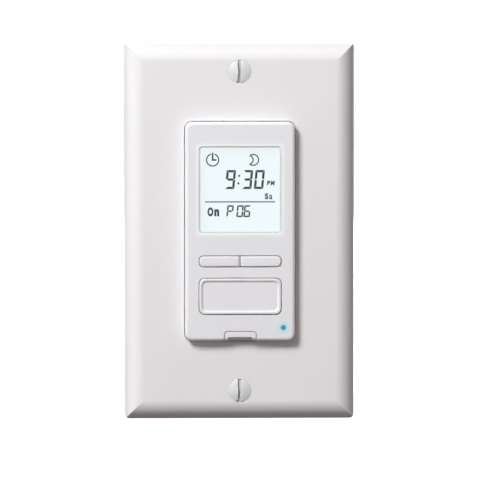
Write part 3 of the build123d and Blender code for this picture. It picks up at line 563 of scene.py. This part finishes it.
def lit_digit(bm, digit, centre, height, width, stroke, gap, slant):
    """A digit made of bars, leaning to the right."""
    before = set(bm.verts)
    half = Vector(((width - stroke) / 2, (height - stroke) / 2))
    for bar in LIT_BARS[digit]:
        mitred_bar(bm, *(Vector((x * half.x, y * half.y, 0)) for x, y in BARS[bar]), stroke, gap)
    lean = Matrix.Identity(4)
    lean[0][1] = slant
    new = [v for v in bm.verts if v not in before]
    bmesh.ops.transform(bm, matrix=Matrix.Translation((*centre, 0)) @ lean, verts=new)


def lit_number(bm, signs, places, *form):
    """Digits of one form, each at its place on the front. A sign whose place is None is left out."""
    for sign, place in zip(signs, places):
        if place:
            lit_digit(bm, sign, [c * MM for c in place], *form)


def lettering(bm, words, centre, height, width, slant, weight):
    """Plain letters fitted into a height and a width."""
    curve = bpy.data.curves.new("lettering", "FONT")
    curve.body = words
    curve.shear = slant
    curve.offset = weight
    holder = bpy.data.objects.new("lettering", curve)
    bpy.context.scene.collection.objects.link(holder)
    mesh = bpy.data.meshes.new_from_object(holder.evaluated_get(bpy.context.evaluated_depsgraph_get()))
    before = set(bm.verts)
    bm.from_mesh(mesh)
    bpy.data.objects.remove(holder)
    bpy.data.meshes.remove(mesh)
    new = [v for v in bm.verts if v not in before]
    if not new:
        raise RuntimeError(f"no letters were made for {words}")
    low = Vector((min(v.co.x for v in new), min(v.co.y for v in new), 0))
    high = Vector((max(v.co.x for v in new), max(v.co.y for v in new), 0))
    size = high - low
    fit = Matrix.Diagonal((width / size.x, height / size.y, 1, 1))
    bmesh.ops.transform(
        bm, matrix=Matrix.Translation((*centre, 0)) @ fit @ Matrix.Translation(-(low + high) / 2), verts=new
    )


def onto_front(bm, y, thickness):
    """Thickens flat marks and stands them up, facing the room, with their backs at y."""
    made = bmesh.ops.extrude_face_region(bm, geom=bm.faces[:])["geom"]
    raised = [g for g in made if isinstance(g, bmesh.types.BMVert)]
    bmesh.ops.translate(bm, vec=(0, 0, thickness), verts=raised)
    bmesh.ops.transform(
        bm, matrix=Matrix.Translation((0, y, 0)) @ Matrix.Rotation(math.pi / 2, 4, "X"), verts=bm.verts[:]
    )
    bmesh.ops.recalc_face_normals(bm, faces=bm.faces[:])


def clear_window():
    """A clear pane, with a gloss that grows where it is seen at a low angle."""
    window = Finish("window_clear", (1, 1, 1), 0.06)
    clear = window.node("ShaderNodeBsdfTransparent")
    gloss = window.node("ShaderNodeBsdfGlossy")
    gloss.inputs["Roughness"].default_value = 0.08
    facing = window.node("ShaderNodeLayerWeight")
    facing.inputs["Blend"].default_value = 0.12
    mixed = window.node("ShaderNodeMixShader")
    window.link(facing.outputs["Fresnel"], mixed.inputs["Fac"])
    window.link(clear.outputs[0], mixed.inputs[1])
    window.link(gloss.outputs[0], mixed.inputs[2])
    window.link(mixed.outputs[0], window.out.inputs["Surface"])
    window.tree.nodes.remove(window.shader)
    return window


def rounded_border(bm, width, height, line):
    """A flat rounded rectangle of one line width, round the origin."""
    corners = bmesh.ops.create_grid(bm, x_segments=1, y_segments=1, size=0.5)["verts"]
    bmesh.ops.transform(bm, matrix=Matrix.Diagonal((width, height, 1, 1)), verts=corners)
    bmesh.ops.bevel(
        bm, geom=corners, offset=BORDER_CORNER, affect="VERTICES", segments=8, profile=0.5, material=-1
    )
    inside = bm.faces[:]
    bmesh.ops.inset_region(bm, faces=inside, thickness=line, use_boundary=True, use_even_offset=True)
    bmesh.ops.delete(bm, geom=inside, context="FACES_ONLY")


class TIMER_OT_mouldings(bpy.types.Operator):
    """Finish the wall plate, the bezel, the buttons and the service tab"""

    bl_idname = "timer_switch.mouldings"
    bl_label = "Front mouldings"

    def execute(self, context):
        colours = context.scene.timer_finishes
        plate = moulded("plate_plastic", colours.plate, 0.45, patch=26 * MM)
        plate.set("Specular IOR Level", 0.25)
        low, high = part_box("front_bezel")
        corner = Vector((FACE_CORNER, 0, FACE_CORNER))
        # Distances from the bezel's box less its corner radius follow the bezel's rounded outline
        seam_shade = plate.outside(low + corner, high - corner)
        reach = FACE_CORNER + FACE_GAP
        # Painted shade: a grey line on the plate along the bezel's outline, where the seam between them lies in shadow
        plate.stain(plate.between(seam_shade, reach, reach + SEAM_SHADE_WIDTH, 0.8, 0), paint(144, 139, 140))
        plate.on("wall_plate")
        face = moulded("face_plastic", colours.face, 0.38, grain=0.2 * MM)
        glow = face.distance(LIGHT_CENTRE)
        face.stain(face.between(glow, HALO_REACH, HALO_CORE, 0, 0.9, smooth=True), colours.halo)
        edge = Vector((LENS_FLANGE, 0, LENS_FLANGE))
        # Painted light: the bezel grows paler towards the window, as if lit by the display behind it
        window_glow = face.outside(WINDOW_LOW + edge, WINDOW_HIGH - edge)
        face.stain(face.between(window_glow, WINDOW_GLOW_REACH, WINDOW_GLOW_CORE, 0, 0.95, smooth=True), paint(252, 252, 253))
        # Print and painted shade: a grey band on the bezel round the window, carried further at the right and the
        # foot, where the lit bevel is painted as dark as the shaded left and top
        edge += Vector((WINDOW_CORNER, 0, WINDOW_CORNER))
        printed = face.outside(
            WINDOW_LOW + edge - Vector((0, 0, PRINT_AND_SHADE_OVER_FOOT)), WINDOW_HIGH - edge + Vector((PRINT_AND_SHADE_OVER_RIGHT, 0, 0))
        )
        face.stain(
            face.between(printed, WINDOW_CORNER, WINDOW_CORNER + PRINT_BLUR, 0.85, 0), paint(186, 191, 194)
        )
        face.on("front_bezel")
        button = moulded("button_plastic", colours.button, 0.42, grain=0.16 * MM, depth=0.003 * MM)
        button.on("left_button", "right_button", "on_off_button", "service_tab")
        for body in ("left_button", "right_button"):
            crowned_button(body, button)
        return {"FINISHED"}


class TIMER_OT_display(bpy.types.Operator):
    """Finish the display's window and panel, with the printed border in front"""

    bl_idname = "timer_switch.display"
    bl_label = "Display"

    def execute(self, context):
        colours = context.scene.timer_finishes
        readout = context.scene.timer_readout
        clear_window().on("display_window")

        unlit = [c * 0.08 for c in colours.display]
        panel = Finish("display_glass", unlit, 0.3)
        panel.shade(panel.clouds(9 * MM, 2), 0.05)
        panel.relief(panel.clouds(0.3 * MM, 2), 0.001 * MM, 0.3)
        panel.lit(colours.display, 0.94)
        panel.on("display_panel")

        border = moulded("border_print", colours.border, 0.4, grain=0.1 * MM, depth=0.001 * MM)
        width, height = WINDOW_HIGH.x - WINDOW_LOW.x, WINDOW_HIGH.z - WINDOW_LOW.z
        bm = bmesh.new()
        rounded_border(bm, width - 2 * LENS_FLANGE, height - 2 * LENS_FLANGE, readout.border)
        onto_front(bm, WINDOW_LOW.y, readout.thickness)
        bmesh.ops.translate(bm, vec=(0, 0, (WINDOW_LOW.z + WINDOW_HIGH.z) / 2), verts=bm.verts[:])
        link_piece(bm, "display_border", border)
        return {"FINISHED"}


# The readout's layout: places in millimetres across and up the front
TIME_PLACES = ((-2.87, 15.69), None, (2.32, 15.69), (5.89, 15.69))
COLON_DOTS = ((-0.24, 16.81), (-0.48, 14.51))
DOT_RADIUS = 0.33 * MM
PROGRAMME_PLACES = ((-3.0, 6.1), None, (0.02, 6.09), (2.17, 6.09))
CLOCK_CENTRE = (-8.3, 21.63)
MOON_OUTER_CENTRE = (4.0, 21.66)
MOON_INNER_CENTRE = (2.74, 21.66)
# Each letter with its place, width, height, slant and share of the weight
LETTERS = (
    ("P", (8.64, 14.64), 1.06, 1.36, 0.2, 1.1),
    ("M", (9.93, 14.64), 1.42, 1.36, 0.2, 1.1),
    ("S", (8.07, 10.6), 1.06, 1.86, 0, 0.8),
    ("a", (9.34, 10.38), 1.04, 1.42, 0, 0.3),
    ("O", (-8.97, 5.9), 1.78, 2.72, 0, 1),
    ("n", (-7.05, 5.64), 1.47, 2.18, 0, 1),
)
# The line under the time
LINE_LEFT, LINE_RIGHT = -10.6 * MM, 10.7 * MM
LINE_HEIGHT = 8.92 * MM
LINE_WIDTH = 0.4 * MM
LINE_BAND, LINE_BAND_END = 0.5 * MM, 0.6 * MM  # marks this near its height are printed paler, as the line is


class TIMER_OT_readout(bpy.types.Operator):
    """Draw the clock, the moon, the digits and the small words on the display"""

    bl_idname = "timer_switch.readout"
    bl_label = "Readout"

    def execute(self, context):
        shown = context.scene.timer_readout
        marks = Finish("display_marks", context.scene.timer_finishes.mark, 0.35)
        marks.shade(marks.clouds(0.4 * MM, 2), 0.06)
        off_line = marks.sums("ABSOLUTE", marks.sums("SUBTRACT", marks.along("Z"), LINE_HEIGHT), 0)
        marks.stain(marks.between(off_line, LINE_BAND, LINE_BAND_END, 1, 0), paint(120, 133, 136))
        marks.relief(marks.clouds(0.15 * MM, 1), 0.001 * MM, 0.3)
        bm = bmesh.new()
        lit_number(
            bm, shown.time, TIME_PLACES, shown.digit_height, shown.digit_width, shown.digit_stroke,
            shown.joint_gap, shown.slant,
        )
        for x, z in COLON_DOTS:
            dot = bmesh.ops.create_circle(bm, cap_ends=True, segments=20, radius=DOT_RADIUS)["verts"]
            bmesh.ops.translate(bm, vec=(x * MM, z * MM, 0), verts=dot)
        lit_number(
            bm, shown.programme, PROGRAMME_PLACES, shown.small_height, shown.small_width, shown.small_stroke,
            shown.joint_gap, shown.slant,
        )
        flat_bar(bm, (LINE_LEFT, LINE_HEIGHT), (LINE_RIGHT, LINE_HEIGHT), LINE_WIDTH)
        # A clock with a gap at its top, where the upright hand passes
        clock = Vector(CLOCK_CENTRE) * MM
        flat_arc(bm, clock, 1.83 * MM, 0.37 * MM, 108, 324, 40)
        flat_bar(bm, clock + Vector((0, -0.25 * MM)), clock + Vector((0, 2.2 * MM)), 0.48 * MM)
        flat_bar(bm, clock + Vector((0.24 * MM, 0)), clock + Vector((1.15 * MM, 0)), 0.5 * MM)
        # A crescent moon between two arcs
        flat_arc(bm, [c * MM for c in MOON_OUTER_CENTRE], 1.64 * MM, 0.36 * MM, -130, 260, 36)
        flat_arc(bm, [c * MM for c in MOON_INNER_CENTRE], 1.27 * MM, 0.36 * MM, -80, 160, 24)
        for letter, (x, z), width, height, slant, weight in LETTERS:
            lettering(bm, letter, (x * MM, z * MM), height * MM, width * MM, slant, shown.weight * weight)
        onto_front(bm, PANEL_FRONT - MARK_CLEARANCE, shown.thickness)
        link_piece(bm, "display_readout", marks)
        return {"FINISHED"}


class TIMER_OT_status_light(bpy.types.Operator):
    """Light the status light and its lamp"""

    bl_idname = "timer_switch.status_light"
    bl_label = "Status light"

    def execute(self, context):
        colours = context.scene.timer_finishes
        pipe = Finish("light_blue", colours.light, 0.2)
        ring = pipe.between(pipe.distance(LIGHT_CENTRE), RING_START, RING_END, 0, 0.45, smooth=True)
        pipe.stain(ring, paint(150, 205, 226))
        pipe.relief(pipe.clouds(0.25 * MM, 2), 0.004 * MM, 0.4)
        pipe.lit(colours.light, 0.25)
        pipe.on("status_light_pipe")
        lamp = Finish("lamp_epoxy", paint(150, 205, 240), 0.25)
        lamp.shade(lamp.clouds(0.5 * MM, 2), 0.1)
        lamp.relief(lamp.clouds(0.2 * MM, 2), 0.003 * MM, 0.5)
        lamp.lit(paint(120, 190, 240), 1.5)
        lamp.on("status_lamp")
        return {"FINISHED"}


class TIMER_OT_screws(bpy.types.Operator):
    """Finish the screws"""

    bl_idname = "timer_switch.screws"
    bl_label = "Screws"

    def execute(self, context):
        colours = context.scene.timer_finishes
        head = Finish("white_screw", colours.screw, 0.5)
        head.shade(head.clouds(1.2 * MM, 3), 0.04)
        floor = SCREWS_FRONT + SLOT_DEPTH
        # Painted shade: the floor of each slot is greyed, as if in shadow
        dark = head.between(head.along("Y"), floor - SLOT_SHADE_HEIGHT, floor, 0, 0.5, smooth=True)
        head.stain(dark, paint(150, 151, 152))
        head.polish(head.clouds(0.7 * MM, 3), 0.48, 0.58)
        head.relief(head.clouds(0.5 * MM, 2), 0.006 * MM, 0.5)
        head.on("plate_screws")
        threaded_screws("plate_screws", "plate_screws_threaded", head, DOME_SHARE)
        zinc = metal("screw_steel", paint(196, 190, 168), 0.3)
        zinc.on("mounting_screws", "strap_screws")
        threaded_screws("mounting_screws", "mounting_screws_threaded", zinc)
        brass = metal("terminal_brass", paint(214, 178, 104), 0.3)
        brass.on(
            "terminal_screws", "line_terminal", "neutral_terminal", "load_terminal", "traveler_terminal",
            "bridge_contact", "air_gap_contacts",
        )
        green = Finish("ground_green", paint(30, 120, 58), 0.35, 0.6)
        green.shade(green.clouds(1.0 * MM, 3), 0.12)
        green.polish(green.clouds(0.6 * MM, 3), 0.25, 0.45)
        green.relief(green.clouds(0.2 * MM, 2), 0.004 * MM, 0.5)
        green.on("ground_screw")
        return {"FINISHED"}


class TIMER_OT_metalwork(bpy.types.Operator):
    """Finish the strap, the clamp plates and the other sheet metal"""

    bl_idname = "timer_switch.metalwork"
    bl_label = "Metalwork"

    def execute(self, context):
        strap = metal("strap_steel", paint(218, 219, 218), 0.42, stretch=(1, 1, 12), line=0.2 * MM)
        strap.shade(strap.cells(2.2 * MM, output="Color"), 0.09, 0.1, 0.9)
        strap.on("mounting_strap")
        clamp = metal("clamp_steel", paint(190, 190, 186), 0.32, stretch=(1, 1, 8))
        clamp.on("clamp_plates", "ground_washer")
        nickel = metal("cell_steel", paint(200, 200, 202), 0.24, stretch=(8, 1, 1))
        nickel.on("backup_cell", "cell_clip")
        fibre = Finish("washer_fibre", paint(166, 118, 84), 0.7)
        fibre.shade(fibre.clouds(0.35 * MM, 5, (6, 1, 1)), 0.2)
        fibre.relief(fibre.clouds(0.12 * MM, 4, (8, 1, 1)), 0.02 * MM, 0.7)
        fibre.on("retaining_washers")
        return {"FINISHED"}


class TIMER_OT_housing(bpy.types.Operator):
    """Finish the rear housing and the mouldings inside the front"""

    bl_idname = "timer_switch.housing"
    bl_label = "Housing"

    def execute(self, context):
        housing = moulded(
            "housing_plastic", paint(52, 52, 55), 0.5, grain=0.22 * MM, depth=0.02 * MM, patch=12 * MM
        )
        housing.on("rear_housing")
        holder = moulded("holder_plastic", paint(226, 226, 222), 0.45)
        holder.on("display_holder")
        diffuser = moulded("diffuser_plastic", paint(238, 242, 244), 0.5)
        diffuser.lit(paint(226, 242, 246), 0.4)
        diffuser.on("display_backlight")
        rubber = moulded("strip_rubber", paint(168, 128, 138), 0.7)
        rubber.on("contact_strips")
        plunger = moulded("plunger_plastic", paint(206, 202, 190), 0.5, grain=0.1 * MM)
        plunger.on("left_plunger", "right_plunger", "on_off_plunger")
        film = moulded("sheet_film", paint(226, 222, 196), 0.3, depth=0.002 * MM)
        film.on("insulating_sheet")
        return {"FINISHED"}


class TIMER_OT_boards(bpy.types.Operator):
    """Finish the boards and the parts on them"""

    bl_idname = "timer_switch.boards"
    bl_label = "Boards"

    def execute(self, context):
        board = Finish("board_green", paint(34, 104, 62), 0.34)
        board.shade(board.clouds(7 * MM, 2), 0.1)
        tracks = board.between(board.cells(2.4 * MM, "DISTANCE_TO_EDGE"), 0.05, 0.09, 1, 0)
        board.stain(board.sums("MULTIPLY", tracks, 0.55), paint(70, 148, 88))
        board.relief(tracks, 0.03 * MM, 0.6)
        board.polish(board.clouds(1.5 * MM, 3), 0.26, 0.44)
        board.on("control_board", "power_board")
        moulded("chip_black", paint(40, 40, 42), 0.5, grain=0.08 * MM, depth=0.006 * MM).on(
            "controller_chip", "board_header", "switch_cases"
        )
        moulded("relay_plastic", paint(38, 44, 54), 0.4, grain=0.14 * MM).on("relay")
        moulded("film_epoxy", paint(208, 176, 60), 0.4, grain=0.3 * MM, depth=0.01 * MM).on("film_capacitor")
        moulded("bobbin_plastic", paint(48, 48, 48), 0.45).on("coil_bobbin")
        wire = metal(
            "winding_copper", paint(190, 108, 64), 0.34, stretch=(30, 1, 30), line=0.16 * MM, depth=0.05 * MM
        )
        wire.on("coil_winding")
        moulded("sleeve_film", paint(42, 58, 92), 0.28, depth=0.002 * MM).on("filter_capacitors")
        moulded("disc_ceramic", paint(66, 104, 168), 0.35, grain=0.4 * MM, depth=0.01 * MM).on("surge_disc")
        return {"FINISHED"}


SENSOR_WIDTH = 36  # millimetres, as Blender gives it
FLOOR_DROP = 0.05 * MM
FLOOR_SIZE = 3.0
ROOM_FOOT = 0.77  # light from below, as a share of the light from above
ROOM_TINT = (1, 0.88, 0.84, 1)
WHITE = (1, 1, 1, 1)
KEY_PLACE = Vector((-0.72, -1, 0.94)).normalized() * 1.15
KEY_COLOUR = (0.97, 1, 1.005)
SOFT_COLOUR = (1, 0.95, 0.94)


def aimed_camera(scene, setup):
    """A long lens that looks at the front a little from the left and from above."""
    lens = bpy.data.cameras.new("camera")
    lens.sensor_width = SENSOR_WIDTH
    lens.lens = SENSOR_WIDTH * setup.distance / setup.view_width
    lens.clip_start, lens.clip_end = 0.05, 20
    camera = bpy.data.objects.new("camera", lens)
    turn = Euler((math.pi / 2 - setup.view_rise, 0, -setup.view_side))
    back = Vector((0, 0, setup.distance))
    back.rotate(turn)
    camera.location = Vector((setup.centre_x, 0, setup.centre_z)) + back
    camera.rotation_euler = turn
    scene.collection.objects.link(camera)
    scene.camera = camera


def area_light(scene, name, place, power, size, colour):
    """A square light that faces the middle of the part."""
    lamp = bpy.data.lights.new(name, "AREA")
    lamp.energy = power
    lamp.size = size
    lamp.color = colour
    light = bpy.data.objects.new(name, lamp)
    light.location = place
    light.rotation_euler = (-place).to_track_quat("-Z", "Y").to_euler()
    scene.collection.objects.link(light)


def lit_room(scene, strength):
    """Soft, slightly warm light from all round, stronger from above. The camera sees it as plain white."""
    world = bpy.data.worlds.new("room")
    world.use_nodes = True
    nodes, links = world.node_tree.nodes, world.node_tree.links
    nodes.clear()
    out = nodes.new("ShaderNodeOutputWorld")
    sky = nodes.new("ShaderNodeBackground")
    seen = nodes.new("ShaderNodeLightPath").outputs["Is Camera Ray"]
    split = nodes.new("ShaderNodeSeparateXYZ")
    links.new(nodes.new("ShaderNodeTexCoord").outputs["Generated"], split.inputs[0])
    height = nodes.new("ShaderNodeMapRange")
    for name, value in (
        ("From Min", -1), ("From Max", 1), ("To Min", ROOM_FOOT * strength), ("To Max", strength)
    ):
        height.inputs[name].default_value = value
    links.new(split.outputs["Z"], height.inputs["Value"])
    level = nodes.new("ShaderNodeMapRange")
    links.new(height.outputs["Result"], level.inputs["To Min"])
    links.new(seen, level.inputs["Value"])
    links.new(level.outputs["Result"], sky.inputs["Strength"])
    hue = nodes.new("ShaderNodeMix")
    hue.data_type = "RGBA"
    hue.inputs["A"].default_value = ROOM_TINT
    hue.inputs["B"].default_value = WHITE
    links.new(seen, hue.inputs["Factor"])
    links.new(hue.outputs["Result"], sky.inputs["Color"])
    links.new(sky.outputs[0], out.inputs["Surface"])
    scene.world = world


def bright_floor(scene):
    """A plain pale floor just under the part, which throws no light on it."""
    bm = bmesh.new()
    bmesh.ops.create_grid(bm, x_segments=1, y_segments=1, size=FLOOR_SIZE)
    bmesh.ops.translate(bm, vec=(0, 0, CAD_BOX[0][2] - FLOOR_DROP), verts=bm.verts[:])
    mesh = bpy.data.meshes.new("floor")
    bm.to_mesh(mesh)
    bm.free()
    floor = bpy.data.objects.new("floor", mesh)
    scene.collection.objects.link(floor)
    pale = Finish("pale_floor", (0.8, 0.8, 0.8), 0.6)
    pale.shade(pale.clouds(0.4, 2), 0.01)
    pale.lit((1, 1, 1), 0.92)
    mesh.materials.append(pale.material)
    floor.visible_diffuse = False
    floor.visible_glossy = False


class TIMER_OT_studio(bpy.types.Operator):
    """Set up the camera, the lights and a pale floor"""

    bl_idname = "timer_switch.studio"
    bl_label = "Studio"

    def execute(self, context):
        setup = context.scene.timer_studio
        scene = context.scene
        scene.view_settings.view_transform = "Standard"
        aimed_camera(scene, setup)
        for name, place, power, size, colour in (
            ("key_light", KEY_PLACE, setup.key_power, setup.key_size, KEY_COLOUR),
            ("soft_light", Vector((-0.1, -1.2, 0.7)), setup.soft_power, 1.3, SOFT_COLOUR),
            ("side_light", Vector((-1.5, -0.3, 0.2)), setup.side_power, 0.8, WHITE[:3]),
            ("right_light", Vector((1.5, 0, 0.25)), setup.right_power, 0.8, WHITE[:3]),
            ("back_light", Vector((0.5, 1.5, 0.6)), setup.back_power, 1.2, WHITE[:3]),
        ):
            area_light(scene, name, place, power, size, colour)
        lit_room(scene, setup.room_light)
        bright_floor(scene)
        return {"FINISHED"}


class TIMER_PT_sidebar(bpy.types.Panel):
    """Lists the steps that dress the timer switch"""

    bl_idname = "TIMER_PT_sidebar"
    bl_label = "Timer Light Switch"
    bl_space_type = "VIEW_3D"
    bl_region_type = "UI"
    bl_category = "Timer Switch"

    def draw(self, context):
        layout = self.layout
        for step in STEPS:
            layout.operator(step.bl_idname)
        for group in (context.scene.timer_readout, context.scene.timer_finishes, context.scene.timer_studio):
            box = layout.box()
            for name in type(group).__annotations__:
                box.prop(group, name)


STEPS = (
    TIMER_OT_mouldings,
    TIMER_OT_display,
    TIMER_OT_readout,
    TIMER_OT_status_light,
    TIMER_OT_screws,
    TIMER_OT_metalwork,
    TIMER_OT_housing,
    TIMER_OT_boards,
    TIMER_OT_studio,
)
CLASSES = (ReadoutSettings, FinishSettings, StudioSettings, *STEPS, TIMER_PT_sidebar)


def register():
    for item in CLASSES:
        bpy.utils.register_class(item)
    bpy.types.Scene.timer_readout = PointerProperty(type=ReadoutSettings)
    bpy.types.Scene.timer_finishes = PointerProperty(type=FinishSettings)
    bpy.types.Scene.timer_studio = PointerProperty(type=StudioSettings)


def unregister():
    del bpy.types.Scene.timer_studio
    del bpy.types.Scene.timer_finishes
    del bpy.types.Scene.timer_readout
    for item in reversed(CLASSES):
        bpy.utils.unregister_class(item)


def main():
    register()
    for step in STEPS:
        area, name = step.bl_idname.split(".")
        getattr(getattr(bpy.ops, area), name)()


if __name__ == "__main__":
    main()
